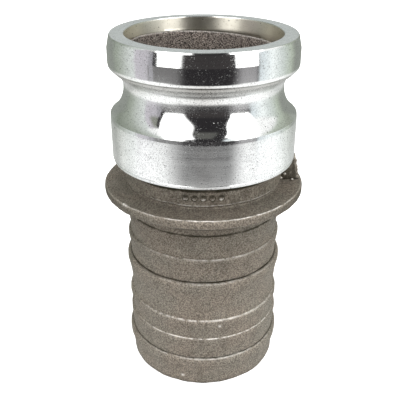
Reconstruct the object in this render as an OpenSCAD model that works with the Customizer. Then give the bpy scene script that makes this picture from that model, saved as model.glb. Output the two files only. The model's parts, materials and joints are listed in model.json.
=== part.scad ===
// Cam-and-groove adapter with a hose shank: the plug half of a camlock coupling.
// It is one aluminium casting, bored and turned at the plug end. Each module below is one
// zone of that casting, and the zones meet face to face with no gap.
// The origin is the centre of the shank's end face, with +Z along the bore towards the plug.

/* [Overall] */
// Height from the shank's end face to the plug's sealing face
total_h = 148; // [140:1:170]

/* [Plug head] */
// Radius of the plug where it slides into the coupler
plug_r = 37.9; // [36.5:0.1:39]
// Radius of the sealing face's outer edge
face_r = 36.5; // [36:0.1:36.5]
// Radius of the machined mouth of the bore
mouth_r = 31; // [30.8:0.1:32]
// Depth of the machined mouth
mouth_depth = 5.8; // [4:0.1:9]
// Depth of the tapered lead-in below the sealing face
lead_in_depth = 5.1; // [3:0.1:7]
// Depth of the nose rim's lower edge below the sealing face
rim_depth = 10.7; // [9.5:0.1:10.9]
// Radius at the bottom of the cam groove
groove_r = 32.15; // [32:0.05:32.8]
// Depth of the land's upper edge below the sealing face
land_top_depth = 31.5; // [30.8:0.1:33.5]
// Depth of the land's lower edge below the sealing face
land_end_depth = 50.4; // [46:0.1:54]

/* [Neck and collar] */
// Radius of the neck between the plug and the collar
neck_r = 32.7; // [32.6:0.1:34]
// Depth of the neck's lower edge below the sealing face
neck_end_depth = 59.6; // [57:0.1:60]
// Outer radius of the collar that stops the hose
collar_r = 42.1; // [40:0.1:46]
// Thickness of the collar at its rim
collar_t = 3.2; // [2:0.1:5]

/* [Hose shank] */
// Radius of the shank between its ridges
shank_r = 32; // [31:0.1:33]
// Radius of the as-cast bore
bore_r = 27.6; // [25:0.1:28.5]
// Radius of the round on the shank's end
end_round = 1.2; // [0.5:0.1:2]

/* [Casting marks] */
// Number of raised pips on the neck
pip_count = 5; // [1:1:7]
// Radius of one pip
pip_r = 0.95; // [0.6:0.05:1.2]

/* [Hidden] */

$fn = 144;
step_deg = 6;            // angle between points on an arc
ease_steps = 6;          // pieces in one rise or fall of a ridge

zone_r = 30.6;           // radius where the outer zones meet the bore wall
mouth_taper = 0.8;       // how much the machined mouth narrows
bore_top_r = 29.9;       // as-cast bore just below the machined mouth
bore_taper_depth = 34;   // where the as-cast bore turns straight
bore_chamfer = 1;

edge_break = 0.5;        // broken edge of the sealing face
lip_round = 2.2;         // round under the nose rim
upper_groove_round = 6.6;
lower_groove_round = 13.6;
upper_arc_depth = 19.4;  // where the upper arc reaches the groove's bottom
land_chamfer_h = 1.1;
land_chamfer_w = 0.6;

neck_step = 0.5;         // the neck steps in above the collar
collar_top_depth = 61.3;
collar_fall = 0.4;       // how much the collar's top falls towards its rim
collar_round = 0.8;
collar_under_w = 7;      // width of the sloping underside
collar_under_h = 2.8;
root_round = 3;
root_r = shank_r - 0.1;  // plain root between the collar and the ridges
root_end_depth = 74;

// Turning points of the shank's outline, going down: depth, and height above shank_r
RIDGES = [[75.2, 0.6], [80.5, 0], [86, 1.1], [91, 0.2], [98, 1.9], [108.5, 0.3],
          [116, 1.4], [120.8, 0.8], [125.7, 1.5], [129.6, 1.1], [137, 2.2], [144.5, 0.85]];

pip_pitch_deg = 6;
pip_depth = 56.2;
pip_h = 0.5;
pip_taper = 0.25;        // how much narrower a pip is at its top
pip_sink = 0.05;         // how deep a pip's foot sits in the neck

stub_r = 40.8;           // outer face of the gate stub
stub_w = 8;
stub_top_in = 2.5;       // its outer face leans in by this much at the top
stub_knee_in = 1.5;
stub_knee_drop = 2.5;    // below the top, where the lean grows less
stub_root_in = 1;        // overlap with the neck before it is cut to the neck's round

// Height of a place that is given by its depth below the sealing face
function up(depth) = total_h - depth;
// Points on an arc in the outline's plane, from angle a0 to a1
function arc(r, z, radius, a0, a1) =
    let (n = max(2, ceil(abs(a1 - a0) / step_deg)))
    [for (i = [0:n]) let (a = a0 + (a1 - a0) * i / n) [r + radius * cos(a), z + radius * sin(a)]];
// Points on a smooth rise or fall between two turning points, without the first one
function ease(a, b) =
    [for (i = [1:ease_steps]) let (t = i / ease_steps)
        [a[0] + (b[0] - a[0]) * (1 - cos(180 * t)) / 2, a[1] + (b[1] - a[1]) * t]];

module turned(outline) {
    rotate_extrude() polygon(outline);
}

// The rim's lower edge is a quarter round. It ends at this radius and height.
lip_r = plug_r - lip_round;
lip_z = up(rim_depth) - lip_round;
// The groove is two arcs, each with its centre outside the groove's bottom by its own radius
upper_arc_r = groove_r + upper_groove_round;
lower_arc_r = groove_r + lower_groove_round;
upper_start = 180 - acos((upper_arc_r - lip_r) / upper_groove_round);
lower_end = 180 + acos((lower_arc_r - plug_r) / lower_groove_round);
lower_arc_z = up(land_top_depth) - lower_groove_round * sin(lower_end);

// Nose: sealing face, lead-in and rim, with the machined mouth inside
module nose_rim() color("gainsboro") turned(concat(
    [[mouth_r - mouth_taper, up(mouth_depth)], [mouth_r, total_h], [face_r, total_h],
     [face_r + edge_break, total_h - edge_break], [plug_r, up(lead_in_depth)]],
    arc(lip_r, up(rim_depth), lip_round, 0, -90),
    [[zone_r, lip_z], [zone_r, up(mouth_depth)]]));

// Upper side of the cam groove, which the coupler's cams push against, and its bottom
module cam_seat() color("silver") turned(concat(
    [[zone_r, lip_z], [lip_r, lip_z]],
    arc(upper_arc_r, up(upper_arc_depth), upper_groove_round, upper_start, 180),
    [[groove_r, lower_arc_z], [zone_r, lower_arc_z]]));

// Lower side of the cam groove, a hollow slope that ends at the land's edge
module groove_slope() color("silver") turned(concat(
    [[zone_r, lower_arc_z]],
    arc(lower_arc_r, lower_arc_z, lower_groove_round, 180, lower_end),
    [[zone_r, up(land_top_depth)]]));

// Plain turned cylinder that guides the plug in the coupler
module guide_land() color("gainsboro") {
    chamfer_z = up(land_end_depth) + land_chamfer_h;
    difference() {
        union() {
            translate([0, 0, chamfer_z]) cylinder(r = plug_r, h = up(land_top_depth) - chamfer_z);
            translate([0, 0, up(land_end_depth)])
                cylinder(r1 = plug_r - land_chamfer_w, r2 = plug_r, h = land_chamfer_h);
        }
        translate([0, 0, up(land_end_depth) - 1])
            cylinder(r = zone_r, h = land_end_depth - land_top_depth + 2);
    }
}

// As-cast neck, with a small step above the collar
module neck() color("dimgray") turned([
    [zone_r, up(land_end_depth)], [neck_r, up(land_end_depth)], [neck_r, up(neck_end_depth)],
    [neck_r - neck_step, up(neck_end_depth) - neck_step],
    [neck_r - neck_step, up(collar_top_depth)], [zone_r, up(collar_top_depth)]]);

// Collar that the hose's end stops against
module stop_collar() {
    rim_top = up(collar_top_depth) - collar_fall;
    rim_low = rim_top - collar_t;
    under_r = collar_r - collar_under_w;
    under_z = rim_low - collar_under_h;
    color("dimgray") turned(concat(
        [[zone_r, up(collar_top_depth)]],
        arc(collar_r - collar_round, rim_top - collar_round, collar_round, 90, 0),
        [[collar_r, rim_low], [under_r, under_z]],
        arc(root_r + root_round, under_z - root_round, root_round, 90, 180),
        [[zone_r, under_z - root_round]]));
}

// As-cast barrel with low rounded ridges that grip the hose
module hose_shank() {
    root_top = up(collar_top_depth) - collar_fall - collar_t - collar_under_h - root_round;
    turns = [for (t = RIDGES) [shank_r + t[1], up(t[0])]];
    last = turns[len(turns) - 1];
    color("gray") turned(concat(
        [[zone_r, root_top], [root_r, root_top], [root_r, up(root_end_depth)], turns[0]],
        [for (i = [1:len(turns) - 1]) each ease(turns[i - 1], turns[i])],
        arc(last[0] - end_round, end_round, end_round, 0, -90),
        [[zone_r, 0]]));
}

// As-cast wall of the bore, from the machined mouth to the shank's end
module bore_wall() color("rosybrown") difference() {
    cylinder(r = zone_r, h = up(mouth_depth));
    translate([0, 0, -1]) cylinder(r = bore_r, h = total_h);
    translate([0, 0, up(bore_taper_depth)])
        cylinder(r1 = bore_r, r2 = bore_top_r, h = bore_taper_depth - mouth_depth);
    cylinder(r1 = bore_r + bore_chamfer, r2 = bore_r, h = bore_chamfer);
}

// What is left of the gate that fed the mould, broken off beside the neck
module gate_stub() color("dimgray") difference() {
    stub_top = up(land_end_depth);
    translate([0, stub_w / 2, 0]) rotate([90, 0, 0]) linear_extrude(stub_w) polygon([
        [neck_r - stub_root_in, stub_top], [stub_r - stub_top_in, stub_top],
        [stub_r - stub_knee_in, stub_top - stub_knee_drop], [stub_r, up(collar_top_depth)],
        [neck_r - stub_root_in, up(collar_top_depth)]]);
    cylinder(r = neck_r, h = total_h);
}

// Raised pips that stand for the casting's size mark
module cast_mark() color("dimgray") for (i = [0:pip_count - 1])
    rotate([0, 0, -90 + (i - (pip_count - 1) / 2) * pip_pitch_deg])
        translate([neck_r - pip_sink, 0, up(pip_depth)]) rotate([0, 90, 0])
            cylinder(r1 = pip_r, r2 = pip_r - pip_taper, h = pip_h + pip_sink);

nose_rim();
cam_seat();
groove_slope();
guide_land();
neck();
stop_collar();
hose_shank();
bore_wall();
gate_stub();
cast_mark();
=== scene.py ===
"""Looks of the cam-and-groove adapter: one aluminium casting with a turned plug head.

Lengths in this script are millimetres, given as a radius and a depth below the sealing face.
They become metres only where a mesh is made. Azimuths are degrees from the front (-Y) towards +X.
"""

import json
import math

import bmesh
import bpy
import numpy as np
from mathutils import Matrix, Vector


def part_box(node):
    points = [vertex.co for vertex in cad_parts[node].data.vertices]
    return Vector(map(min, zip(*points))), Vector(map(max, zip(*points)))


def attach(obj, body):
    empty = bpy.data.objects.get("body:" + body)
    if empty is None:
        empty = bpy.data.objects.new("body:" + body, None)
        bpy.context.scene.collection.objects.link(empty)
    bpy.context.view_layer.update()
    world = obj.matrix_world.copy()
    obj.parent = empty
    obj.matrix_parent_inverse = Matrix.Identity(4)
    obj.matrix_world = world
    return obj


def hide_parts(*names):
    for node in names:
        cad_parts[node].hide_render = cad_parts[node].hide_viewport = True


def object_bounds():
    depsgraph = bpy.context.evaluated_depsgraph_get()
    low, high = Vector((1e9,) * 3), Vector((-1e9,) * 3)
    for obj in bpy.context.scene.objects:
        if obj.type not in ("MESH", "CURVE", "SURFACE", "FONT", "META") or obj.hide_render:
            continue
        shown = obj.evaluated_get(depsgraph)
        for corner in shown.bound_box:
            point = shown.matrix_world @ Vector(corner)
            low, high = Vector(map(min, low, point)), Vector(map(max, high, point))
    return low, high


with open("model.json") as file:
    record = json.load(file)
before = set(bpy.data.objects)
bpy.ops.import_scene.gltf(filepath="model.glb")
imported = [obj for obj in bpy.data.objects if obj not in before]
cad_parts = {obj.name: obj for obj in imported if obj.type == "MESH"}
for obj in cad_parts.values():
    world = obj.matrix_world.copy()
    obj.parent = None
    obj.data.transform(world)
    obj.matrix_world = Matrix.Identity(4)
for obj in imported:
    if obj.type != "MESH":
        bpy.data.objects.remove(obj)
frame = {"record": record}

CAD_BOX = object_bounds()
MM = 0.001


# ---------------------------------------------------------------- sizes from the frame

TOP = CAD_BOX[1][2] / MM
MOUNTS = {m["name"]: m for m in frame["record"]["mounts"]}


def span(node):
    """(upper depth, lower depth) of a CAD node."""
    low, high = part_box(node)
    return TOP - high[2] / MM, TOP - low[2] / MM


def reach(node):
    """Outer radius of a CAD node that is round about Z."""
    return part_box(node)[1][1] / MM


PLUG_R = reach("guide_land")
GROOVE_R = MOUNTS["cam_groove_seat"]["dims"]["r_mm"]
BORE_R = MOUNTS["flow_bore"]["dims"]["r_mm"]
PILOT_R = MOUNTS["hose_pilot"]["dims"]["r_mm"]
ZONE_R = reach("bore_wall")
NECK_R = reach("neck")
COLLAR_R = reach("stop_collar")

LIP_DEPTH = span("nose_rim")[1]
GROOVE_DEPTH = span("cam_seat")[1]
LAND_END = span("guide_land")[1]
COLLAR_TOP, COLLAR_END = span("stop_collar")
SHANK_END = span("hose_shank")[1]


# ---------------------------------------------------------------- numbers and noise


def lattice(cell, seed):
    """A fixed pseudo-random number from -1 to 1 for each lattice cell."""
    mixed = cell[..., 0] * 374761393 + cell[..., 1] * 668265263 + cell[..., 2] * 1442695041
    mixed = (mixed + seed * 974634777) & 0xFFFFFFFF
    mixed = ((mixed ^ (mixed >> 13)) * 1274126177) & 0xFFFFFFFF
    return ((mixed ^ (mixed >> 16)) & 0xFFFF) / 32767.5 - 1


def grain(points, size, seed):
    """Smooth value noise from -1 to 1 at points, with features about size mm across."""
    scaled = points / size
    cell = np.floor(scaled).astype(np.int64)
    part = scaled - cell
    part = part * part * (3 - 2 * part)
    total = 0
    for corner in np.ndindex(2, 2, 2):
        weight = np.prod(np.where(corner, part, 1 - part), axis=-1)
        total = total + weight * lattice(cell + corner, seed)
    return total


def bell(x, width):
    return np.exp(-((x / width) ** 2))


# ---------------------------------------------------------------- outlines

ARC_STEP = math.radians(2.5)


def arc(r, depth, radius, start, end):
    """Points on an arc, with angles in degrees: 0 is outward and 90 is up."""
    count = max(2, math.ceil(math.radians(abs(end - start)) / ARC_STEP))
    angles = np.radians(np.linspace(start, end, count + 1))
    return [(r + radius * math.cos(a), depth - radius * math.sin(a)) for a in angles]


def rounded(corners):
    """An open outline through corners (radius, depth, round), with each corner rounded."""
    points = []
    for i, (r, depth, size) in enumerate(corners):
        here = np.array([r, depth])
        if size <= 0 or i in (0, len(corners) - 1):
            points.append(tuple(here))
            continue
        back = np.array(corners[i - 1][:2]) - here
        ahead = np.array(corners[i + 1][:2]) - here
        back_length, ahead_length = np.linalg.norm(back), np.linalg.norm(ahead)
        back, ahead = back / back_length, ahead / ahead_length
        half = math.acos(np.clip(back @ ahead, -1, 1)) / 2
        cut = min(size / math.tan(half), 0.48 * back_length, 0.48 * ahead_length)
        steps = max(2, math.ceil((math.pi - 2 * half) / ARC_STEP))
        for t in np.linspace(0, 1, steps + 1):
            near = here + back * cut * (1 - t) ** 2 + ahead * cut * t ** 2
            points.append(tuple(near))
    return points


def spaced(outline, step):
    """The same outline with no gap longer than step."""
    points = [outline[0]]
    for a, b in zip(outline, outline[1:]):
        count = max(1, math.ceil(math.dist(a, b) / step))
        points += [(a[0] + (b[0] - a[0]) * k / count, a[1] + (b[1] - a[1]) * k / count)
                   for k in range(1, count + 1)]
    return points


# ---------------------------------------------------------------- turned skin

MOUTH_R = 31.0          # machined mouth of the bore
MOUTH_TAPER = 0.8
MOUTH_DEPTH = span("bore_wall")[0]
FACE_R = 36.55          # outer edge of the sealing face
LEAD_IN = (36.95, 0.6)  # top of the tapered lead-in
LEAD_IN_DEPTH = 5.1
EASE_ROUND = 5.0        # the rim's lower edge eases in by this arc before its tighter round
EASE_TURN = 12
LIP_ROUND = 1.7
UPPER_ROUND = 7.3
UPPER_DEPTH = 20.2      # where the upper arc of the groove reaches the bottom
LOWER_ROUND = 13.6
# Width and depth of what is cut off at an edge
LAND_LEAD = (0.12, 1.4)     # slight taper at the land's upper edge
LAND_CHAMFER = (0.28, 1.2)
MOUTH_BREAK = (0.3, 0.35)   # broken edge round the mouth
LAND_LEAD_ROUND = 0.5
SCRIBE = 0.12           # depth of the fine line turned above the land's chamfer
SCRIBE_UP = 0.2         # how far above the chamfer it is
SCRIBE_HALF = 0.15      # half of its width
SCRIBE_ROUND = 0.05
FACE_ROUND = 0.3        # round on the outer edge of the sealing face
EDGE = 0.12             # the least round on a turned edge


def turned_outline():
    """From the machined mouth up over the sealing face and down to the shoulder at the neck."""
    turn = math.radians(EASE_TURN)
    shift = EASE_ROUND - LIP_ROUND
    lip_r = PLUG_R - EASE_ROUND + shift * math.cos(turn)
    ease_depth = LIP_DEPTH - LIP_ROUND - shift * math.sin(turn)
    upper_r = GROOVE_R + UPPER_ROUND
    lower_r = GROOVE_R + LOWER_ROUND
    land_r = PLUG_R - LAND_LEAD[0]
    upper_start = 180 - math.degrees(math.acos((upper_r - lip_r) / UPPER_ROUND))
    lower_end = 180 + math.degrees(math.acos((lower_r - land_r) / LOWER_ROUND))
    head = rounded([
        (MOUTH_R - MOUTH_TAPER, MOUTH_DEPTH, 0), (MOUTH_R, MOUTH_BREAK[1], EDGE),
        (MOUTH_R + MOUTH_BREAK[0], 0, EDGE), (FACE_R, 0, FACE_ROUND), LEAD_IN + (FACE_ROUND,),
        (PLUG_R, LEAD_IN_DEPTH, EDGE), (PLUG_R, ease_depth, 0)])
    lip = arc(PLUG_R - EASE_ROUND, ease_depth, EASE_ROUND, 0, -EASE_TURN)
    lip += arc(lip_r, LIP_DEPTH - LIP_ROUND, LIP_ROUND, -EASE_TURN, -90)[1:]
    seat = arc(upper_r, UPPER_DEPTH, UPPER_ROUND, upper_start, 180)
    slope = arc(lower_r, GROOVE_DEPTH, LOWER_ROUND, 180, lower_end)
    scribe = LAND_END - LAND_CHAMFER[1] - SCRIBE_UP
    land = rounded([
        slope[-1] + (0,), (PLUG_R, slope[-1][1] + LAND_LEAD[1], LAND_LEAD_ROUND),
        (PLUG_R, scribe - SCRIBE_HALF, SCRIBE_ROUND), (PLUG_R - SCRIBE, scribe, SCRIBE_ROUND),
        (PLUG_R, scribe + SCRIBE_HALF, SCRIBE_ROUND),
        (PLUG_R - LAND_CHAMFER[0], LAND_END - 0.1, EDGE), (NECK_R - 0.4, LAND_END, 0)])
    return head, lip[1:], seat[1:], slope[1:], land[1:]


# ---------------------------------------------------------------- as-cast skin

NECK_END = 59.5         # convex lower edge of the neck, above the groove round the collar
NECK_FLARE = 0.3        # how much wider the neck is at that edge
NECK_STEP = 0.55
COLLAR_EDGE = 61.4      # upper edge of the collar's rim
COLLAR_T = 3.45
ROOT_R = 32.4           # plain root between the collar and the ridges
ROOT_END = 73.0
SHANK_R = 32.0
END_ROUND = 1.2
BORE_CHAMFER = 1.1      # inside the shank's end
ROOT_CORNER = (35.4, 67.7, 2.0)     # radius, depth and round where the root meets the underside
FIRST_SWELL_END = 79.5
RISE, FALL = 6.0, 2.0   # how sharply a ridge rises below its crease, and falls away again
RISE_POINTS, FALL_POINTS = 22, 20

# Ridges of the shank: crease depth, height there, crest depth, height there, above SHANK_R
RIDGES = [(83.8, -0.05, 86.0, 1.1), (94.9, 0.1, 98.0, 1.9), (113.6, 0.15, 116.0, 1.4),
          (123.0, 0.55, 125.7, 1.5), (133.4, 0.9, 137.0, 2.25)]
# Of these, the ridges that have a sharp dark crease above them
CREASED = (94.9, 133.4)
UNDERCUT = 0.3          # depth of that crease


def ridge_outline():
    """The shank from its first ridge down: a steep rise, then a slow fall to the next crease."""
    points = []
    for i, (crease, low, crest, high) in enumerate(RIDGES):
        if crease in CREASED:
            points += [(SHANK_R + low + 0.1, crease - 0.45), (SHANK_R + low, crease - 0.2)]
            low -= UNDERCUT
        for t in np.linspace(0, 1, RISE_POINTS)[:-1]:
            points.append((SHANK_R + low + (high - low) * (1 - (1 - t) ** RISE),
                           crease + (crest - crease) * t))
        last = i + 1 == len(RIDGES)
        end, end_high = (SHANK_END - END_ROUND, PILOT_R - SHANK_R) if last else RIDGES[i + 1][:2]
        for t in np.linspace(0, 1, FALL_POINTS)[:-1]:
            points.append((SHANK_R + end_high + (high - end_high) * (1 - t) ** FALL,
                           crest + (end - crest) * t))
    return points


def cast_outline():
    """The neck, the collar and the shank, as three outlines that join."""
    neck = rounded([
        (NECK_R - 0.1, LAND_END, 0), (NECK_R + NECK_FLARE, NECK_END, 0.15),
        (NECK_R - NECK_STEP, NECK_END + 0.5, 0.2), (NECK_R - NECK_STEP, COLLAR_TOP - 0.25, 0.5),
        (NECK_R + 0.9, COLLAR_TOP, 0)])
    rim_low = COLLAR_EDGE + COLLAR_T
    collar = rounded([
        neck[-1] + (0,), (COLLAR_R - 0.65, COLLAR_EDGE, 0.15), (COLLAR_R, COLLAR_EDGE + 1.3, 1.2),
        (COLLAR_R - 0.1, rim_low, 1.0), ROOT_CORNER, (ROOT_R, COLLAR_END, 0)])
    root = rounded([
        (ROOT_R, COLLAR_END, 0), (ROOT_R, ROOT_END, 0.1), (SHANK_R + 0.65, ROOT_END + 0.5, 0.3),
        (SHANK_R + 0.75, ROOT_END + 2.5, 1.0), (SHANK_R + 0.1, FIRST_SWELL_END, 2.0),
        (SHANK_R + RIDGES[0][1], RIDGES[0][0], 0)])
    end = arc(PILOT_R - END_ROUND, SHANK_END - END_ROUND, END_ROUND, 0, -90)
    shank = root[:-1] + ridge_outline() + end + [(BORE_R + BORE_CHAMFER, SHANK_END)]
    return neck, collar, shank


# ---------------------------------------------------------------- meshes


def turned(radial, up, segments):
    """Vectors (radial, up) turned about Z, as an array of rings x segments x 3."""
    angles = np.linspace(0, 2 * math.pi, segments, endpoint=False)
    return np.stack([np.outer(radial, np.cos(angles)), np.outer(radial, np.sin(angles)),
                     np.repeat(np.array(up)[:, None], segments, axis=1)], axis=-1)


def revolve(outline, segments):
    """The points of an outline turned about Z, in mm."""
    radius, depth = np.array(outline).T
    return turned(radius, TOP - depth, segments)


def facing(outline, segments):
    """Their normals. An outline that runs down the outside has them point away from the axis."""
    ahead = np.gradient(np.array(outline), axis=0)
    ahead /= np.linalg.norm(ahead, axis=1, keepdims=True)
    return turned(ahead[:, 1], ahead[:, 0], segments)


def closed_ring(name, skin, inner, marks=None):
    """A mesh ring from skin, an array of rings down the outside, closed by inner (radius, depth)
    points that run back up the inside. marks are numbers for the skin's points, by name."""
    rings, segments = skin.shape[:2]
    back = revolve(inner, segments)
    grid = np.concatenate([skin, back])
    count = len(grid)
    index = np.arange(count * segments).reshape(count, segments)
    right = np.roll(index, -1, axis=1)
    below, below_right = np.roll(index, -1, axis=0), np.roll(right, -1, axis=0)
    faces = np.stack([index, below, below_right, right], axis=-1).reshape(-1, 4)
    mesh = bpy.data.meshes.new(name)
    mesh.from_pydata((grid.reshape(-1, 3) * MM).tolist(), [], faces.tolist())
    for key, values in (marks or {}).items():
        layer = mesh.attributes.new(key, "FLOAT", "POINT")
        padded = np.zeros((count, segments))
        padded[:rings] = values
        layer.data.foreach_set("value", padded.ravel().astype(np.float32))
    mesh.shade_smooth()
    mesh.set_sharp_from_angle(angle=math.radians(35))
    piece = bpy.data.objects.new(name, mesh)
    bpy.context.scene.collection.objects.link(piece)
    return piece


def stand_for(piece, node, material):
    piece.data.materials.append(material)
    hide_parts(node)
    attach(piece, "root")


# ---------------------------------------------------------------- materials


class Shader:
    """A material, with short calls that add nodes to it."""

    def __init__(self, name):
        self.material = bpy.data.materials.new(name)
        self.material.use_nodes = True
        self.tree = self.material.node_tree
        self.surface = self.tree.nodes["Principled BSDF"]
        self.place = self.add("ShaderNodeTexCoord").outputs["Object"]

    def add(self, kind, **settings):
        node = self.tree.nodes.new(kind)
        for key, value in settings.items():
            setattr(node, key, value)
        return node

    def put(self, socket, value):
        if isinstance(value, bpy.types.NodeSocket):
            self.tree.links.new(value, socket)
        else:
            socket.default_value = value

    def math(self, operation, *values, clamp=False):
        node = self.add("ShaderNodeMath", operation=operation, use_clamp=clamp)
        for socket, value in zip(node.inputs, values):
            self.put(socket, value)
        return node.outputs[0]

    def fit(self, value, low, high, to_low=0.0, to_high=1.0):
        node = self.add("ShaderNodeMapRange", interpolation_type="SMOOTHSTEP")
        for socket, number in zip(node.inputs, (value, low, high, to_low, to_high)):
            self.put(socket, number)
        return node.outputs[0]

    def mix(self, factor, a, b, blend="MIX"):
        node = self.add("ShaderNodeMix", data_type="RGBA", blend_type=blend)
        self.put(node.inputs[0], factor)
        self.put(node.inputs[6], a)
        self.put(node.inputs[7], b)
        return node.outputs[2]

    def noise(self, size, detail=2.0, rough=0.5, vector=None, turn=None):
        """Noise with features about size mm across, from about 0.3 to 0.7."""
        kind = "4D" if turn is not None else "3D"
        node = self.add("ShaderNodeTexNoise", noise_dimensions=kind)
        self.put(node.inputs["Vector"], vector or self.place)
        self.put(node.inputs["Scale"], 1 / (size * MM))
        self.put(node.inputs["Detail"], detail)
        self.put(node.inputs["Roughness"], rough)
        if turn is not None:
            self.put(node.inputs["W"], turn)
        return node.outputs[0]

    def cells(self, size):
        """A random number from 0 to 1 for each cell about size mm across."""
        node = self.add("ShaderNodeTexVoronoi", feature="F1")
        self.put(node.inputs["Vector"], self.place)
        self.put(node.inputs["Scale"], 1 / (size * MM))
        return self.math("FRACT", self.math("MULTIPLY", node.outputs["Color"], 3.0))

    def mark(self, name):
        return self.add("ShaderNodeAttribute", attribute_name=name).outputs["Fac"]

    def around(self, stretch):
        """(vector, w) where noise makes rings about Z, stretch times longer than they are wide."""
        parts = self.add("ShaderNodeSeparateXYZ")
        self.put(parts.inputs[0], self.place)
        x, y, z = parts.outputs
        radius = self.math("SQRT", self.math("ADD", self.math("MULTIPLY", x, x),
                                             self.math("MULTIPLY", y, y)))
        vector = self.add("ShaderNodeCombineXYZ")
        self.put(vector.inputs[0], radius)
        self.put(vector.inputs[1], z)
        self.put(vector.inputs[2], self.math("DIVIDE", x, stretch))
        return vector.outputs[0], self.math("DIVIDE", y, stretch)

    def bump(self, height, strength, distance, under=None):
        node = self.add("ShaderNodeBump")
        self.put(node.inputs["Strength"], strength)
        self.put(node.inputs["Distance"], distance * MM)
        self.put(node.inputs["Height"], height)
        if under is not None:
            self.put(node.inputs["Normal"], under)
        return node.outputs[0]

    def finish(self, **inputs):
        for name, value in inputs.items():
            title = name.replace("_", " ").title().replace("Ior", "IOR")
            self.put(self.surface.inputs[title], value)
        return self.material


def colour(r, g, b):
    return (r, g, b, 1.0)


def dimmed(base, share):
    return colour(*(c * share for c in base[:3]))


# Turned metal: sizes in mm
RING_STRETCH = 60       # how much longer than wide a turning line is
STREAK_STRETCH = 12
LINE_SIZE = 0.28
BAND_SIZE = 2.2
STREAK_SIZE = 0.5
BLOTCH_SIZE = 7
PORE_PITCH = 2.6
PORE_GROUP = 5          # size of the areas that have pores, or have none
PORE_DEPTH = 0.05
CRYSTAL_SIZE = 0.32
ALONG_THE_LINES = 0.25  # anisotropic rotation, in turns
DULLER = 0.20           # how much rougher a turned skin is where it is marked dull
SPECK_ROUGH = 0.08      # how much rougher it is in its fine specks
PIT_ROUGH = 0.22        # in its pits
PORE_ROUGH = 0.4        # and in its pores
STAINED = colour(0.56, 0.52, 0.42)
# Colour of the painted shade under the rim's overhang
UNDER_RIM_SHADE = colour(0.30, 0.29, 0.27)
PORE_COLOUR = colour(0.10, 0.095, 0.085)


def turned_metal(name, base, roughness, anisotropic, line_height):
    """Turned aluminium: fine rings, longer streaks, dull blotches, specks, a few dark pores, and
    painted shade under the rim.
    """
    s = Shader(name)
    rings, turn = s.around(RING_STRETCH)
    streaks, streak_turn = s.around(STREAK_STRETCH)
    lines = s.noise(LINE_SIZE, 2, 0.6, rings, turn)
    bands = s.noise(BAND_SIZE, 2, 0.5, rings, turn)
    streak = s.noise(STREAK_SIZE, 2, 0.5, streaks, streak_turn)
    blotch = s.noise(BLOTCH_SIZE, 3, 0.6)
    pore_cells = s.add("ShaderNodeTexVoronoi", feature="F1")
    s.put(pore_cells.inputs["Vector"], s.place)
    s.put(pore_cells.inputs["Scale"], 1 / (PORE_PITCH * MM))
    pick = s.math("GREATER_THAN", s.noise(PORE_GROUP, 1, 0.5), 0.52)
    pore = s.math("MULTIPLY", s.fit(pore_cells.outputs["Distance"], 0.06, 0.11, 1, 0), pick)
    crystal = s.cells(CRYSTAL_SIZE)
    speck = s.fit(crystal, 0.45, 1.0)
    pit = s.fit(crystal, 0.955, 0.985)
    tint = s.mix(s.fit(blotch, 0.35, 0.65), base, dimmed(base, 0.93))
    tint = s.mix(s.fit(streak, 0.55, 0.8), tint, dimmed(base, 0.8))
    tint = s.mix(s.math("MULTIPLY", speck, 0.8), tint, dimmed(base, 0.72))
    tint = s.mix(pit, tint, dimmed(base, 0.4))
    tint = s.mix(s.mark("stain"), tint, STAINED)
    # Painted shade under the rim's overhang
    tint = s.mix(s.mark("film"), tint, UNDER_RIM_SHADE)
    tint = s.mix(pore, tint, PORE_COLOUR)
    rough = s.math("ADD", s.fit(blotch, 0.3, 0.7, roughness * 0.85, roughness * 1.2),
                   s.fit(bands, 0.35, 0.7, 0, roughness * 0.35))
    for amount, rougher in (
            (pore, PORE_ROUGH), (speck, SPECK_ROUGH), (pit, PIT_ROUGH), (s.mark("dull"), DULLER)):
        rough = s.math("ADD", rough, s.math("MULTIPLY", amount, rougher))
    normal = s.bump(lines, 1.0, line_height)
    normal = s.bump(streak, 1.0, line_height * 0.8, normal)
    normal = s.bump(s.math("SUBTRACT", 1.0, pore), 1.0, PORE_DEPTH, normal)
    tangent = s.add("ShaderNodeTangent", direction_type="RADIAL", axis="Z")
    s.put(s.surface.inputs["Tangent"], tangent.outputs[0])
    return s.finish(base_color=tint, metallic=1.0, roughness=rough, normal=normal,
                    anisotropic=anisotropic, anisotropic_rotation=ALONG_THE_LINES)


# Cast metal: sizes in mm
GRAIN_SIZE = 0.55
FINE_GRAIN_SIZE = 0.34
GRAIN_DEPTH = 0.22
FINE_GRAIN_DEPTH = 0.11
TONE_SIZE = 16
DARK_PATCH_SIZE = 5
GRAIN_CONTRAST = 0.40
SPARK = colour(0.62, 0.59, 0.55)
# Lighter colour for worn bare metal and for painted highlights
BARE_AND_HIGHLIGHT = colour(0.95, 0.92, 0.87)
# Dark colour of the painted shade
SHADE_COLOUR = colour(0.035, 0.031, 0.020)


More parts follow.
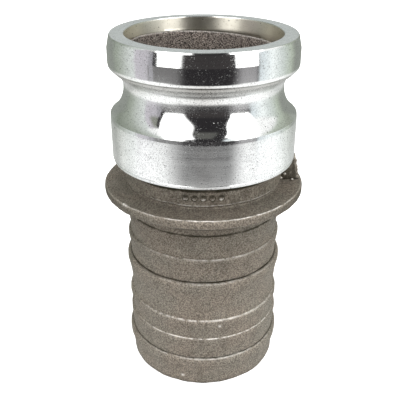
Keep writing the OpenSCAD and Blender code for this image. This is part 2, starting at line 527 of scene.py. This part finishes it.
def cast_metal(name, brown, grey, dark, grit):
    """As-cast aluminium: sand grain, uneven tone, worn edges with painted highlights, and painted
    shade in creases and sheltered places.
    """
    s = Shader(name)
    coarse = s.noise(GRAIN_SIZE, 2, 0.65)
    fine = s.noise(FINE_GRAIN_SIZE, 2, 0.6)
    tone = s.noise(TONE_SIZE, 3, 0.55)
    patch = s.noise(DARK_PATCH_SIZE, 2, 0.5)
    body = s.mix(s.fit(tone, 0.38, 0.62), brown, grey)
    body = s.mix(s.fit(patch, 0.5, 0.75, 0, 0.35), body, dark)
    least, most = (dimmed(colour(1, 1, 1), 1 + sign * GRAIN_CONTRAST * grit) for sign in (-1, 1))
    grains = s.mix(s.fit(coarse, 0.34, 0.66), least, most)
    body = s.mix(1.0, body, grains, "MULTIPLY")
    spark = s.math("MULTIPLY", s.fit(fine, 0.58, 0.72), s.fit(coarse, 0.45, 0.6))
    body = s.mix(s.math("MULTIPLY", spark, 0.5 * grit, clamp=True), body, SPARK)
    # Worn bare metal and painted highlights, on edges, ridges, pips, the stub and the beads
    wear = s.math("MULTIPLY", s.mark("wear"), s.fit(fine, 0.35, 0.55, 0.5, 1.0), clamp=True)
    body = s.mix(wear, body, BARE_AND_HIGHLIGHT)
    # Painted shade in creases, sheltered corners, under the collar and round the pips
    body = s.mix(s.mark("grime"), body, SHADE_COLOUR)
    rough = s.math("SUBTRACT", s.fit(coarse, 0.3, 0.7, 0.72, 0.55), s.math("MULTIPLY", wear, 0.3))
    normal = s.bump(coarse, 0.9, GRAIN_DEPTH * grit)
    normal = s.bump(fine, 0.8, FINE_GRAIN_DEPTH * grit, normal)
    shine = s.math("MULTIPLY_ADD", s.mark("grime"), -0.35, 0.5)
    return s.finish(base_color=body, metallic=0.45, roughness=rough, specular_ior_level=shine,
                    normal=normal)


def materials():
    bright = turned_metal("bright_turned", colour(0.90, 0.905, 0.90), 0.07, 0.5, 0.0018)
    satin = turned_metal("satin_turned", colour(0.92, 0.93, 0.93), 0.14, 0.6, 0.004)
    cast = cast_metal("sand_cast", colour(0.245, 0.211, 0.172), colour(0.236, 0.212, 0.175),
                      colour(0.12, 0.10, 0.08), 1.12)
    bore = cast_metal("core_cast", colour(0.190, 0.160, 0.140), colour(0.180, 0.154, 0.136),
                      colour(0.10, 0.08, 0.065), 2.2)
    return bright, satin, cast, bore


# ---------------------------------------------------------------- pieces

SEGMENTS = 480
CORE_SHIFT = 1.2        # the as-cast bore starts lower on the +X side than on the -X side


def shift_core(points):
    """Tilts the edge between the machined mouth and the as-cast bore."""
    radius = np.linalg.norm(points[..., :2], axis=-1)
    return CORE_SHIFT * points[..., 0] / radius


TURNED_STEP = 0.8       # longest gap between the rings of points on turned skin
UNDER_RIM_SHADE_END = 17.0         # the turned skin under the rim has painted shade down to this depth
UNDER_RIM_SHADE_SHARE = 0.7        # how much of that painted shade there is, and how dull or stained other places are
MOUTH_DULL = 1.15
MOUTH_STAIN = 0.75
LIP_DULL = 0.5
GROOVE_DULL = 0.55


def build_head(bright, satin):
    """The turned plug head: four pieces cut from one skin, so they join exactly."""
    head, lip, seat, slope, land = turned_outline()
    parts = [spaced(head, TURNED_STEP) + lip, [lip[-1]] + seat, [seat[-1]] + slope,
             spaced([slope[-1]] + land, TURNED_STEP)]
    names = ("nose_rim", "cam_seat", "groove_slope", "guide_land")
    for part, node, material in zip(parts, names, (bright, bright, bright, satin)):
        skin = revolve(part, SEGMENTS)
        radius, depth = np.array(part).T
        mouth = np.clip((MOUTH_R + 0.15 - radius) / 0.1, 0, 1)
        lip_dull = np.clip(depth - LIP_DEPTH + 0.8, 0, LIP_DULL)
        groove_dull = np.clip((GROOVE_DEPTH + 3 - depth) / 3, 0, GROOVE_DULL)
        chamfer = depth > LAND_END - LAND_CHAMFER[1]
        # Painted shade on the turned skin just under the rim, fading out a little lower down
        film = UNDER_RIM_SHADE_SHARE * np.clip((UNDER_RIM_SHADE_END - depth) / 2, 0, 1) * (depth > LIP_DEPTH - 1)
        dull = {"nose_rim": MOUTH_DULL * mouth + lip_dull, "guide_land": chamfer}
        if node == "nose_rim":
            skin[0, :, 2] -= shift_core(skin[0])
            inner = [(ZONE_R, part[-1][1]), (ZONE_R, MOUTH_DEPTH + CORE_SHIFT + 0.4)]
        else:
            inner = [(ZONE_R, part[-1][1]), (ZONE_R, part[0][1])]
        by_depth = {"dull": dull.get(node, groove_dull), "stain": MOUTH_STAIN * mouth, "film": film}
        marks = {key: np.repeat(values[:, None], SEGMENTS, axis=1) for key, values in by_depth.items()}
        stand_for(closed_ring(node + "_turned", skin, inner, marks), node, material)


CAST_STEP = 0.42        # longest gap between the rings of points on as-cast skin


def cast_relief(points, normals):
    """Moves an as-cast skin by its waviness and its sand grain."""
    stretched = points * (1, 1, 0.35)
    height = (0.11 * grain(points, 11, 1) + 0.06 * grain(points, 4, 2)
              + 0.05 * grain(points, 1.6, 3) + 0.035 * grain(points, 0.8, 4))
    sag = 0.16 * grain(stretched, 6, 5) + 0.08 * grain(stretched, 1.8, 6)
    moved = points + normals * height[..., None]
    moved[..., 2] += sag
    return moved


def turning(outline, window):
    """How much an outline turns near each point: above 0 where it is convex, in radians."""
    flat = np.array(outline)
    along = np.concatenate([[0], np.cumsum(np.linalg.norm(np.diff(flat, axis=0), axis=1))])

    def heading(offset):
        ahead = np.stack([np.interp(along + offset, along, flat[:, k]) for k in (0, 1)], axis=1)
        back = np.stack([np.interp(along + offset - window, along, flat[:, k]) for k in (0, 1)], 1)
        step = ahead - back
        return np.arctan2(step[:, 1], step[:, 0])

    turn = heading(window) - heading(0)
    return (turn + math.pi) % (2 * math.pi) - math.pi


BRIGHT_EDGE_TURN = 0.45        # an edge that turns more than this, in radians, starts to show wear and a painted highlight
LIT_SHELF_SLOPE = 0.70       # so does a ridge's upper side that faces up more than this, as a painted highlight where light from above falls
TURN_WINDOW = 0.5       # length over which an edge's turn is measured
SHELTERED = 0.33        # how much painted shade lies on the neck and on top of the collar
# Small nicks that show bare metal: azimuth, distance from the axis, depth, and radius
NICKS = ((-48.5, 41.4, 61.5, 0.6), (-46.6, 41.4, 61.5, 0.5), (-15.5, 33.0, 143.7, 0.6),
         (12.3, 33.4, 116.5, 0.6))
NICK_H = 0.25
NECK_SPECKLED = 0.9     # how unevenly the painted shade lies on the neck
SHADE_END = 54.0        # the corner under the land has painted shade down to this depth
LIT_TOWARDS = math.radians(11)     # azimuth where the painted highlight on the ridges and edges is strongest
# How much wear and painted highlight each ridge's upper edge has, by depth
RIDGE_WEAR_AND_HIGHLIGHT = ((80, 0.65), (88, 0.65), (93, 0.35), (98, 0.35), (113, 0.8), (123, 1.15), (131, 0.6))
# Depths and how much painted shade lies there, from the collar's rim down to the shank's first ridge
UNDER_COLLAR_SHADE = ((COLLAR_EDGE + 0.6, 0), (COLLAR_EDGE + 1, 0.10), (COLLAR_EDGE + 3.5, 0.12), (66, 0.33),
          (ROOT_END, 0.34), (80, 0.27), (90, 0.13), (100, 0.04), (110, 0))
RIM_SIDES_SHADE = 0.6      # how much more painted shade the collar's rim has towards its two sides


def bare_spots(points):
    """How much of a nick there is at each point, from 0 to 1."""
    spots = 0
    for azimuth, radius, depth, size in NICKS:
        turn = math.radians(azimuth)
        centre = (radius * math.sin(turn), -radius * math.cos(turn), TOP - depth)
        spots = np.maximum(spots, bell(np.linalg.norm(points - centre, axis=-1), size))
    return spots


PIP_COUNT = 5
PIP_PITCH = 6           # in degrees
PIP_H = 0.75
PIP_R = 1.05
PIP_SHADOW = 0.9         # painted shadow round the foot of each pip, over a width of
PIP_SHADOW_WIDTH = 0.55


def pip_centres():
    """Where the raised pips stand on the neck, in mm."""
    high, low = span("cast_mark")
    turns = [math.radians((i - (PIP_COUNT - 1) / 2) * PIP_PITCH) for i in range(PIP_COUNT)]
    return [np.array([NECK_R * math.sin(turn), -NECK_R * math.cos(turn), TOP - (high + low) / 2])
            for turn in turns]


def worn_and_lit_edges(outline, points, normals):
    """How much lighter each point is painted: worn bare metal and painted highlights on convex edges,
    and painted highlights on the ridges' up-facing sides, strongest towards the front and back.
    """
    depth = np.array(outline)[:, 1]
    patchy = np.clip(0.7 + 0.5 * grain(points, 2.4, 7) + 0.7 * grain(points, 0.8, 8), 0, 1.1)
    azimuth = np.arctan2(points[..., 0], -points[..., 1])
    # Painted highlight: strongest about the lit azimuth and opposite it, weakest at the sides
    patchy = patchy * (0.48 + 0.48 * np.cos(2 * (azimuth - LIT_TOWARDS)))
    patchy = patchy * np.where(depth > ROOT_END, np.interp(depth, *zip(*RIDGE_WEAR_AND_HIGHLIGHT)), 1)[:, None]
    edge = np.clip((turning(outline, TURN_WINDOW) - BRIGHT_EDGE_TURN) / 0.4, 0, 1)
    # Painted highlight on the ridges' upper sides, which face up into the light
    lit_shelf = np.clip((normals[:, 0, 2] - LIT_SHELF_SLOPE) / 0.12, 0, 1) * (depth > ROOT_END + 2)
    return np.clip(np.maximum(edge, lit_shelf)[:, None] * patchy, 0, 1)


def shaded_places(depth, points):
    """How much painted shade lies at each point: in creases, in sheltered corners, under the collar,
    at the shank's end and round the pips.
    """
    # Painted shade along the creases, and in the crease under the collar
    crease = sum(bell(depth - line - 0.08, 0.17) for line in CREASED)
    crease = crease + 0.9 * bell(depth - ROOT_END, 0.35)
    # Painted shade in the corner under the land, and a painted contact shadow round the shank's end
    crease = crease + np.clip((SHADE_END - depth) / 0.4, 0, 1) + bell(depth - SHANK_END, 1.3)
    # Painted shade under the collar, fading out down the shank
    crease = crease + np.interp(depth, *zip(*UNDER_COLLAR_SHADE))
    # Painted shade on the neck and on top of the collar, under the head, heavier towards the front
    front = np.clip(-points[..., 1] / np.linalg.norm(points[..., :2], axis=-1), 0, 1)
    sheltered = (depth < COLLAR_EDGE)[:, None] * (SHELTERED * (0.4 + 0.8 * front))
    speckled = NECK_SPECKLED * grain(points, 0.9, 14) * (depth < NECK_END)[:, None]
    sheltered = sheltered * (1 + speckled)
    grime = np.clip((crease[:, None] + sheltered) * (0.85 + 0.3 * grain(points, 2.5, 9)), 0, 1)
    # Painted shade towards the two sides of the collar's rim
    rim = (depth > COLLAR_EDGE + 0.6) & (depth < COLLAR_EDGE + COLLAR_T + 2)
    grime = np.clip(grime + RIM_SIDES_SHADE * rim[:, None] * (1 - front ** 2), 0, 1)
    # Painted shadow round the foot of each pip
    for centre in pip_centres():
        away = np.linalg.norm(points - centre, axis=-1)
        grime = np.maximum(grime, PIP_SHADOW * bell(away - PIP_R, PIP_SHADOW_WIDTH))
    return grime


def build_cast(cast):
    """The neck, the collar and the shank: three pieces cut from one as-cast skin."""
    neck, collar, shank = (spaced(part, CAST_STEP) for part in cast_outline())
    outline = neck + collar[1:] + shank[1:]
    depth = np.array(outline)[:, 1]
    points, normals = revolve(outline, SEGMENTS), facing(outline, SEGMENTS)
    moved = cast_relief(points, normals)
    moved[[0, -1]] = points[[0, -1]]
    moved[..., 2] = np.maximum(moved[..., 2], 0)
    nicks = bare_spots(points)
    moved += normals * (NICK_H * nicks)[..., None]
    # Wear and painted highlights on edges and ridges, and bare metal at the nicks
    wear = np.maximum(worn_and_lit_edges(outline, points, normals), nicks)
    # Painted shade in creases, sheltered corners and under the collar
    grime = shaded_places(depth, points)
    first, second = len(neck) - 1, len(neck) + len(collar) - 2
    last = len(outline) - 1
    cuts = {"neck": (0, first), "stop_collar": (first, second), "hose_shank": (second, last)}
    for node, (start, end) in cuts.items():
        rows = slice(start, end + 1)
        inner = [(ZONE_R, depth[end]), (ZONE_R, depth[start])]
        marks = {"wear": wear[rows], "grime": grime[rows]}
        if node == "hose_shank":
            inner = [(ZONE_R, depth[start])]
        stand_for(closed_ring(node + "_cast", moved[rows], inner, marks), node, cast)


BORE_TOP_R = 29.95      # as-cast bore just below the machined mouth
STRAIGHT_DEPTH = 34.0   # where its taper ends
BORE_STEP = 0.8


def build_bore(bore):
    """The as-cast wall of the bore, which starts at the machined mouth."""
    outline = spaced([
        (BORE_R + BORE_CHAMFER, SHANK_END), (BORE_R, SHANK_END - BORE_CHAMFER),
        (BORE_R, STRAIGHT_DEPTH), (BORE_TOP_R, MOUTH_DEPTH + 1.6),
        (BORE_TOP_R + 0.25, MOUTH_DEPTH + 0.3), (BORE_TOP_R + 0.45, MOUTH_DEPTH)], BORE_STEP)
    points, normals = revolve(outline, SEGMENTS), facing(outline, SEGMENTS)
    depth = np.array(outline)[:, 1]
    height = (0.16 * grain(points, 7, 11) + 0.09 * grain(points, 2.2, 12)
              + 0.06 * grain(points, 1.1, 13))
    height[[0, -1]] = 0
    moved = points + normals * height[..., None]
    near_top = np.clip((STRAIGHT_DEPTH - depth) / (STRAIGHT_DEPTH - MOUTH_DEPTH), 0, 1)[:, None]
    moved[..., 2] -= near_top * shift_core(points)
    moved[..., 2] = np.maximum(moved[..., 2], 0)
    inner = [(ZONE_R - 0.02, MOUTH_DEPTH), (ZONE_R - 0.02, SHANK_END)]
    wear = np.zeros(points.shape[:2])
    wear[-2:] = 0.4
    marks = {"wear": wear, "grime": np.zeros(points.shape[:2])}
    stand_for(closed_ring("bore_wall_cast", moved, inner, marks), "bore_wall", bore)


def lumps(name, shapes, marks):
    """One piece of closed shapes, each an array of points and the faces between them, in mm."""
    points, faces, start = [], [], 0
    for shape, shape_faces in shapes:
        points.append(shape)
        faces += [tuple(start + i for i in face) for face in shape_faces]
        start += len(shape)
    mesh = bpy.data.meshes.new(name)
    mesh.from_pydata((np.concatenate(points) * MM).tolist(), [], faces)
    for key, values in marks.items():
        layer = mesh.attributes.new(key, "FLOAT", "POINT")
        layer.data.foreach_set("value", np.concatenate(values).astype(np.float32))
    mesh.shade_smooth()
    piece = bpy.data.objects.new(name, mesh)
    bpy.context.scene.collection.objects.link(piece)
    return piece


def ball(finely=4):
    """Points and faces of a ball of radius 1."""
    shape = bmesh.new()
    bmesh.ops.create_icosphere(shape, subdivisions=finely, radius=1)
    points = np.array([v.co[:] for v in shape.verts])
    faces = [tuple(v.index for v in face.verts) for face in shape.faces]
    shape.free()
    return points, faces


def block(cuts, round_part):
    """Points and faces of a cube from -1 to 1, cut into a grid, with rounded edges."""
    shape = bmesh.new()
    bmesh.ops.create_cube(shape, size=2)
    bmesh.ops.subdivide_edges(shape, edges=shape.edges[:], cuts=cuts, use_grid_fill=True)
    points = np.array([v.co[:] for v in shape.verts])
    faces = [tuple(v.index for v in face.verts) for face in shape.faces]
    shape.free()
    core = np.clip(points, round_part - 1, 1 - round_part)
    out = points - core
    return core + round_part * out / np.linalg.norm(out, axis=1, keepdims=True), faces


def build_marks(cast):
    """Raised pips on the front of the neck, with a painted highlight on their lower edges and painted
    shade on their upper sides.
    """
    unit, faces = ball()
    shapes, wear, grime = [], [], []
    for i, centre in enumerate(pip_centres()):
        out = centre * (1, 1, 0) / np.linalg.norm(centre[:2])
        side = np.array([-out[1], out[0], 0])
        across, rise, up = (unit * (1 + 0.15 * grain(unit, 0.8, 20 + i))[:, None]).T
        rise = np.clip(rise, -0.5, 0.8) * PIP_H
        shapes.append((centre + across[:, None] * side * PIP_R + rise[:, None] * out
                       + up[:, None] * np.array([0, 0, PIP_R]), faces))
        # Painted highlight on each pip's lower side
        wear.append(np.clip(-1.1 * unit[:, 2] - 0.1 + 0.7 * grain(unit, 0.5, 30 + i), 0, 0.9))
        # Painted shade on each pip's upper side
        grime.append(np.clip(0.35 + 0.9 * unit[:, 2], 0, 0.9))
    stand_for(lumps("cast_mark_raised", shapes, {"wear": wear, "grime": grime}), "cast_mark", cast)


STUB_TOP_IN = 2.6       # how far in the gate stub's outer face is at its top
STUB_KNEE = (1.6, 2.5)  # how far in it is where its lean grows less, and how far below the top
STUB_SUNK = 1.0         # how deep the stub's foot sits in the neck
STUB_CUTS = 30          # cuts across each side of the block that it is made from
STUB_ROUND = 0.16       # round of that block's edges, as a part of half its width
# Beads of metal that ran from the gate: distance along X and -Y, depth, and radius
BEADS = ((32.6, 5.2, 59.9, 0.75), (34.2, 4.6, 58.4, 0.65), (37.5, 4.9, 60.7, 0.6))


def build_stub(cast):
    """What is left of the gate: a broken, leaning fin with a few beads of metal beside it."""
    high, low = span("gate_stub")
    reach_x, half, _ = (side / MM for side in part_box("gate_stub")[1])
    unit, faces = block(STUB_CUTS, STUB_ROUND)
    across, side, up = unit.T
    depth = (high + low) / 2 - up * (low - high) / 2
    knee_in, knee_drop = STUB_KNEE
    outer = reach_x - np.interp(depth, (high, high + knee_drop, low), (STUB_TOP_IN, knee_in, 0))
    inner = NECK_R - STUB_SUNK
    x = inner + (across + 1) / 2 * (outer - inner)
    y = side * half * (1 - 0.1 * (across + 1))
    fin = np.stack([x, y, TOP - depth], axis=1)
    broken = np.clip((np.maximum(across, up) - 0.6) / 0.3, 0, 1)
    shift = np.stack([grain(fin, 2.4, 40 + k) * 0.4 + grain(fin, 0.9, 44 + k) * 0.22
                      for k in range(3)], axis=1)
    fin = fin + shift * (0.3 + 0.9 * broken)[:, None]
    fin[:, 0] = np.minimum(fin[:, 0], reach_x)
    # Wear and painted highlight on the stub's broken outer faces
    wear = [np.clip(broken * (0.05 + 0.4 * grain(fin, 0.9, 50)), 0, 0.5)]
    # Painted shade on the faces that are not broken, as on the near face in shadow
    grime = [np.clip(0.75 - broken + 0.4 * grain(fin, 1.6, 51), 0, 0.75)]
    shapes = [(fin, faces)]
    round_ball, ball_faces = ball()
    for i, (bead_x, bead_y, bead_depth, size) in enumerate(BEADS):
        bead = round_ball * (1, 1, 0.8) * size * (1 + 0.22 * grain(round_ball, 0.9, 60 + i))[:, None]
        shapes.append((bead + (bead_x, -bead_y, TOP - bead_depth), ball_faces))
        # Painted highlight on the tops of the beads
        wear.append(np.clip(round_ball[:, 2] * 0.8 + 0.1, 0, 0.8))
        grime.append(np.zeros(len(bead)))
    stand_for(lumps("gate_stub_broken", shapes, {"wear": wear, "grime": grime}), "gate_stub", cast)


# ---------------------------------------------------------------- light, floor and camera


class Sky(Shader):
    """The world's shader, with calls that paint patches of sky. Angles are in degrees."""

    def __init__(self):
        world = bpy.data.worlds.new("studio")
        world.use_nodes = True
        bpy.context.scene.world = world
        self.tree = world.node_tree
        place = self.add("ShaderNodeTexCoord").outputs["Generated"]
        parts = self.add("ShaderNodeSeparateXYZ")
        self.put(parts.inputs[0], place)
        x, y, z = parts.outputs
        self.azimuth = self.degrees(self.math("ARCTAN2", x, self.math("MULTIPLY", y, -1.0)))
        rise = self.math("ARCSINE", z)
        self.elevation = self.degrees(rise)
        self.steepness = self.math("TANGENT", rise)

    def degrees(self, radians):
        return self.math("MULTIPLY", radians, 180 / math.pi)

    def horizon(self, stops):
        """A tint that changes with azimuth, from (azimuth, tint) stops."""
        ramp = self.add("ShaderNodeValToRGB")
        points = ramp.color_ramp.elements
        while len(points) < len(stops):
            points.new(0.5)
        for point, (azimuth, tint) in zip(points, stops):
            point.position = azimuth / 360 + 0.5
            point.color = tint
        self.put(ramp.inputs[0], self.math("MULTIPLY_ADD", self.azimuth, 1 / 360, 0.5))
        return ramp.outputs[0]

    def patch(self, under, azimuths, elevations, tint, swells=(0.0, 0.0), leans=(0.0, 0.0)):
        """Paints tint inside azimuths and elevations, each (low, high, soft at low, soft at high).
        Its two sides move out by the swells at mid height. A lean moves a side out as it rises, as
        the edge of a flat panel that leans over the object does."""
        low, high = elevations[:2]
        middle, half = (low + high) / 2, (high - low) / 2
        height = self.math("DIVIDE", self.math("SUBTRACT", self.elevation, middle), half)
        belly = self.fit(self.math("ABSOLUTE", height), 0, 1, 1, 0)
        from_side = []
        for swell, lean, sign in zip(swells, leans, (1, -1)):
            out = self.math("MULTIPLY", belly, swell)
            if lean:
                turn = self.math("ARCSINE", self.math("MULTIPLY", self.steepness, lean))
                out = self.math("ADD", out, self.degrees(turn))
            from_side.append(self.math("MULTIPLY_ADD", out, sign, self.azimuth))
        inside = 1.0
        for from_low, from_high, ends in (
                (*from_side, azimuths), (self.elevation, self.elevation, elevations)):
            low, high, soft_low, soft_high = ends
            over = self.fit(from_low, low - soft_low, low + soft_low)
            below = self.fit(from_high, high - soft_high, high + soft_high, 1, 0)
            inside = self.math("MULTIPLY", inside, self.math("MULTIPLY", over, below))
        return self.mix(inside, under, tint)


ALL_ROUND = (-200, 200, 1, 1)
BACK = (0.58, 0.615, 0.61)
GAP = (0.028, 0.026, 0.028)
SOFT_BOX = (3.0, 3.0, 2.98)
REFLECTOR = (1.12, 1.13, 1.12)
DIM_SIDE = (0.31, 0.33, 0.30)
LIT_FLOOR = (1.28, 1.29, 1.28)
PALE_FLOOR = (1.0, 1.02, 1.0)
BACK_FLOOR = (0.62, 0.62, 0.61)

# The walls all round, as (azimuth, tint)
WALLS = (
    (-180, BACK), (-153, (0.44, 0.47, 0.44)), (-136, (0.27, 0.30, 0.25)), (-115, (0.42, 0.46, 0.40)),
    (-88, (0.78, 0.82, 0.80)), (-84, (0.64, 0.61, 0.66)), (-66, (0.58, 0.56, 0.60)),
    (70, (0.80, 0.87, 0.90)), (86, (1.08, 1.14, 1.13)), (102, (0.74, 0.80, 0.77)),
    (119, (0.54, 0.60, 0.51)), (136, (0.36, 0.39, 0.33)), (155, (0.46, 0.49, 0.46)), (180, BACK))

# The floor all round, as (azimuth, tint)
GROUND = (
    (-180, BACK_FLOOR), (-136, (0.55, 0.56, 0.54)), (-119, (0.92, 0.93, 0.90)), (-102, PALE_FLOOR),
    (-82, LIT_FLOOR), (-45, LIT_FLOOR), (0, (0.95, 0.935, 0.915)), (45, LIT_FLOOR), (105, LIT_FLOOR),
    (119, PALE_FLOOR), (136, (0.74, 0.76, 0.74)), (180, BACK_FLOOR))

# Patches on the walls, in the order of painting: azimuths, elevations, tint, and perhaps the
# swells and leans of the two sides. The last two are the soft boxes, with the gap between them.
WALL_PATCHES = (
    ((-200, -128, 1, 8), (-18, 8, 3, 4), DIM_SIDE),
    ((128, 200, 8, 1), (-18, 8, 3, 4), DIM_SIDE),
    ((-77, -50, 4, 1), (15, 43, 5, 3), (0.29, 0.30, 0.26)),
    ((-58.5, 66, 1, 2), (-90, 90, 1, 1), GAP, (0.0, 0.0), (0.30, 0.0)),
    ((-24, 34, 4, 4), (-8, 12, 4, 4), (0.055, 0.05, 0.05)),
    ((-67, -26, 1, 7), (-28, -3, 2, 3), (0.19, 0.185, 0.185)),
    ((40, 64, 8, 4), (-28, -3, 2, 3), (0.36, 0.35, 0.36)),
    ((-65.5, -60, 1, 0.7), (-90, 14, 1, 5), (0.42, 0.41, 0.44)),
    ((-17, 25, 6, 6), (56, 77, 4, 2), (0.13, 0.13, 0.12)),
    ((-92, -56, 6, 2), (43, 72, 3, 3), REFLECTOR),
    ((60, 112, 2, 6), (18, 66, 5, 3), REFLECTOR),
    (ALL_ROUND, (76, 100, 1.5, 1), GAP),
    ((-51.5, -27, 1, 4), (3.5, 76, 1.5, 2), SOFT_BOX, (0.0, 11.0), (0.33, 0.0)),
    ((36, 61, 1.2, 1.2), (3.5, 69, 1.5, 2), SOFT_BOX, (6.5, 0.0), (-0.1, 0.52)))

# Where the floor begins: in front, on the right and on the left
GROUND_PATCHES = (
    (ALL_ROUND, (-100, -26.7, 1, 3.2)), ((41, 200, 15, 1), (-100, -19, 1, 4)),
    ((-200, -39, 1, 15), (-100, -19, 1, 4)))
UNDER_OBJECT = (ALL_ROUND, (-100, -62, 1, 8), (0.30, 0.29, 0.27))

# What only the diffuse light sees: a darker floor, and one broad soft light in front
DIFFUSE_PATCHES = (
    (ALL_ROUND, (-100, -32, 1, 8), (0.50, 0.49, 0.47)),
    ((-30, 42, 8, 8), (-12, 75, 8, 6), (1.75, 1.70, 1.66)))


def light_studio():
    """Two tall soft boxes in front with a dark gap between them, paler sides and back, and a pale
    floor below. Diffuse light sees them with one broad soft light in front, and the camera sees
    plain white instead."""
    s = Sky()
    sky = s.horizon([(azimuth, colour(*tint)) for azimuth, tint in WALLS])
    for azimuths, elevations, tint, *sides in WALL_PATCHES:
        sky = s.patch(sky, azimuths, elevations, colour(*tint), *sides)
    ground = s.horizon([(azimuth, colour(*tint)) for azimuth, tint in GROUND])
    for azimuths, elevations in GROUND_PATCHES:
        sky = s.patch(sky, azimuths, elevations, ground)
    azimuths, elevations, tint = UNDER_OBJECT
    sky = s.patch(sky, azimuths, elevations, colour(*tint))
    soft = sky
    for azimuths, elevations, tint in DIFFUSE_PATCHES:
        soft = s.patch(soft, azimuths, elevations, colour(*tint))
    sky = s.mix(s.add("ShaderNodeLightPath").outputs["Is Diffuse Ray"], sky, soft)
    lit, plain = s.add("ShaderNodeBackground"), s.add("ShaderNodeBackground")
    s.put(lit.inputs["Color"], sky)
    s.put(plain.inputs["Color"], colour(1, 1, 1))
    chosen = s.add("ShaderNodeMixShader")
    s.put(chosen.inputs[0], s.add("ShaderNodeLightPath").outputs["Is Camera Ray"])
    s.put(chosen.inputs[1], lit.outputs[0])
    s.put(chosen.inputs[2], plain.outputs[0])
    s.put(s.tree.nodes["World Output"].inputs["Surface"], chosen.outputs[0])


# In metres
FLOOR_HALF = 4.0
FLOOR_GAP = 0.0001      # keeps the floor clear of the shank's end
FLOOR_GLOW = 0.62


def lay_floor():
    corners = [(x * FLOOR_HALF, y * FLOOR_HALF, -FLOOR_GAP)
               for x, y in ((-1, -1), (1, -1), (1, 1), (-1, 1))]
    mesh = bpy.data.meshes.new("floor")
    mesh.from_pydata(corners, [], [(0, 1, 2, 3)])
    floor = bpy.data.objects.new("floor", mesh)
    bpy.context.scene.collection.objects.link(floor)
    s = Shader("pale_floor")
    pale = s.mix(s.fit(s.noise(40, 2), 0.3, 0.7), colour(0.86, 0.86, 0.86), colour(0.88, 0.88, 0.88))
    s.put(s.surface.inputs["Emission Color"], colour(1, 1, 1))
    s.put(s.surface.inputs["Emission Strength"], FLOOR_GLOW)
    mesh.materials.append(s.finish(base_color=pale, roughness=0.9))
    floor.visible_glossy = False
    floor.visible_diffuse = False


CAMERA_BACK = 248.1     # from the axis, towards -Y
CAMERA_ABOVE = 49.9     # above the sealing face
CAMERA_PITCH = 26.36    # below the horizon, in degrees
CAMERA_ROLL = 0.2
CAMERA_LENS = 56.8
CAMERA_SHIFT = -0.00845


def place_camera():
    data = bpy.data.cameras.new("camera")
    data.lens = CAMERA_LENS
    data.sensor_width = 36.0
    data.shift_x = CAMERA_SHIFT
    data.clip_start = 0.01
    camera = bpy.data.objects.new("camera", data)
    bpy.context.scene.collection.objects.link(camera)
    camera.location = (0, -CAMERA_BACK * MM, (TOP + CAMERA_ABOVE) * MM)
    camera.rotation_mode = "XYZ"
    camera.rotation_euler = (math.radians(90 - CAMERA_PITCH), 0, 0)
    camera.rotation_euler.rotate_axis("Z", math.radians(CAMERA_ROLL))
    bpy.context.scene.camera = camera


# ---------------------------------------------------------------- the scene

bpy.context.scene.view_settings.view_transform = "Standard"
bright, satin, cast, bore = materials()
build_head(bright, satin)
build_cast(cast)
build_bore(bore)
build_marks(cast)
build_stub(cast)
place_camera()
light_studio()
lay_floor()
